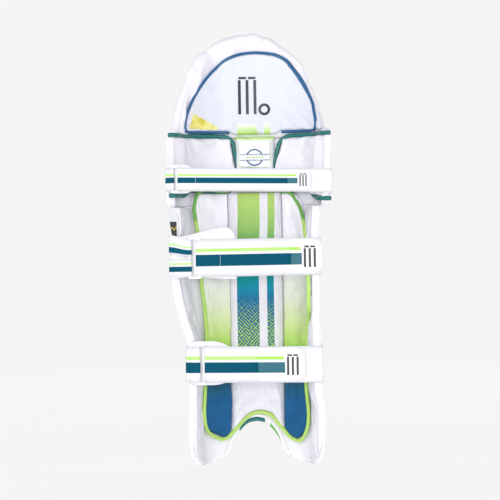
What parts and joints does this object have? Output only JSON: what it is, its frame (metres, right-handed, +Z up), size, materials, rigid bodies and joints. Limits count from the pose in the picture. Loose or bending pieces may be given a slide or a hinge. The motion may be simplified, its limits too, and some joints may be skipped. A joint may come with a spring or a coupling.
{
  "type": "cricket leg pad",
  "caption": "Batting leg pad: caned shin face, knee rolls, curved wings, padded lining and top hat, closed at the back by wide straps with rings and peel-off tabs.",
  "frame": {"origin": "middle of the bounding box, on the surface that the pad stands on", "axes": "+Z up along the shin, +Y out of the padded face, -Y the leg side that the straps close, +X to the right seen from the leg side"},
  "size_m": [0.2815, 0.1756, 0.735],
  "materials": {
    "pu_white": "smooth PU leather",
    "mesh_white": "air mesh",
    "bolster_fabric": "printed stretch fabric, white to lime to blue",
    "foam": "foam and fibre filling",
    "cane": "bare cane",
    "piping_lime": "smooth PU piping",
    "piping_teal": "smooth PU piping",
    "piping_blue": "smooth PU piping",
    "webbing": "twill webbing with a lime and a teal stripe",
    "ring_plastic": "moulded",
    "tab_plastic": "soft moulded tab with a lime and a teal stripe",
    "hook": "hook tape",
    "label": "woven label"
  },
  "bodies": {
    "shin": {"front_face": "pu_white", "cane_rods": "cane", "face_backing": "foam", "shin_lining": "mesh_white", "left_wing_cover": "pu_white", "left_wing_foam": "foam", "left_wing_lining": "mesh_white", "right_wing_cover": "pu_white", "right_wing_foam": "foam", "right_wing_lining": "mesh_white", "shin_bolster_left": "bolster_fabric", "shin_bolster_right": "bolster_fabric", "shin_bolster_centre": "bolster_fabric", "shin_bolster_piping": "piping_lime", "knee_backing": "pu_white", "left_knee_wing": "pu_white", "right_knee_wing": "pu_white", "knee_roll_lower": "pu_white", "knee_roll_middle": "pu_white", "knee_roll_upper": "pu_white", "left_knee_bolster": "mesh_white", "right_knee_bolster": "mesh_white", "left_knee_piping": "piping_teal", "right_knee_piping": "piping_teal", "knee_centre_pad": "mesh_white", "side_label": "label", "top_anchor": "webbing", "top_tongue": "mesh_white", "top_lower_run": "webbing", "mid_anchor": "webbing", "mid_tongue": "mesh_white", "mid_lower_run": "webbing", "low_anchor": "webbing", "low_tongue": "mesh_white", "low_lower_run": "webbing"},
    "top_hat": {"top_hat_cover": "pu_white", "top_hat_foam": "foam", "top_hat_lining": "mesh_white", "top_hat_pad": "mesh_white", "top_hat_piping": "piping_blue"},
    "top_ring": {"top_ring": "ring_plastic", "top_turn": "webbing"},
    "top_end": {"top_upper_run": "webbing", "top_tab": "tab_plastic", "top_hook_patch": "hook"},
    "mid_ring": {"mid_ring": "ring_plastic", "mid_turn": "webbing"},
    "mid_end": {"mid_upper_run": "webbing", "mid_tab": "tab_plastic", "mid_hook_patch": "hook"},
    "low_ring": {"low_ring": "ring_plastic", "low_turn": "webbing"},
    "low_end": {"low_upper_run": "webbing", "low_tab": "tab_plastic", "low_hook_patch": "hook"}
  },
  "joints": [
    {"name": "top_hat_flex", "type": "hinge", "parent": "shin", "child": "top_hat", "pos_m": [0.006, 0.07065, 0.557], "axis": [-1, 0, 0], "range_deg": [0, 15], "stiffness_Nm_per_rad": 1},
    {"name": "top_ring_swing", "type": "hinge", "parent": "shin", "child": "top_ring", "pos_m": [-0.1305, -0.08405, 0.486], "axis": [0, 0, -1], "range_deg": [0, 30]},
    {"name": "top_peel", "type": "hinge", "parent": "top_ring", "child": "top_end", "pos_m": [-0.12085, -0.08795, 0.486], "axis": [0, 0, -1], "range_deg": [0, 135]},
    {"name": "mid_ring_swing", "type": "hinge", "parent": "shin", "child": "mid_ring", "pos_m": [-0.103, -0.08405, 0.3535], "axis": [0, 0, -1], "range_deg": [0, 30]},
    {"name": "mid_peel", "type": "hinge", "parent": "mid_ring", "child": "mid_end", "pos_m": [-0.09235, -0.08795, 0.3535], "axis": [0, 0, -1], "range_deg": [0, 135]},
    {"name": "low_ring_swing", "type": "hinge", "parent": "shin", "child": "low_ring", "pos_m": [-0.0914, -0.08405, 0.175], "axis": [0, 0, -1], "range_deg": [0, 30]},
    {"name": "low_peel", "type": "hinge", "parent": "low_ring", "child": "low_end", "pos_m": [-0.08025, -0.08795, 0.175], "axis": [0, 0, -1], "range_deg": [0, 135]}
  ]
}
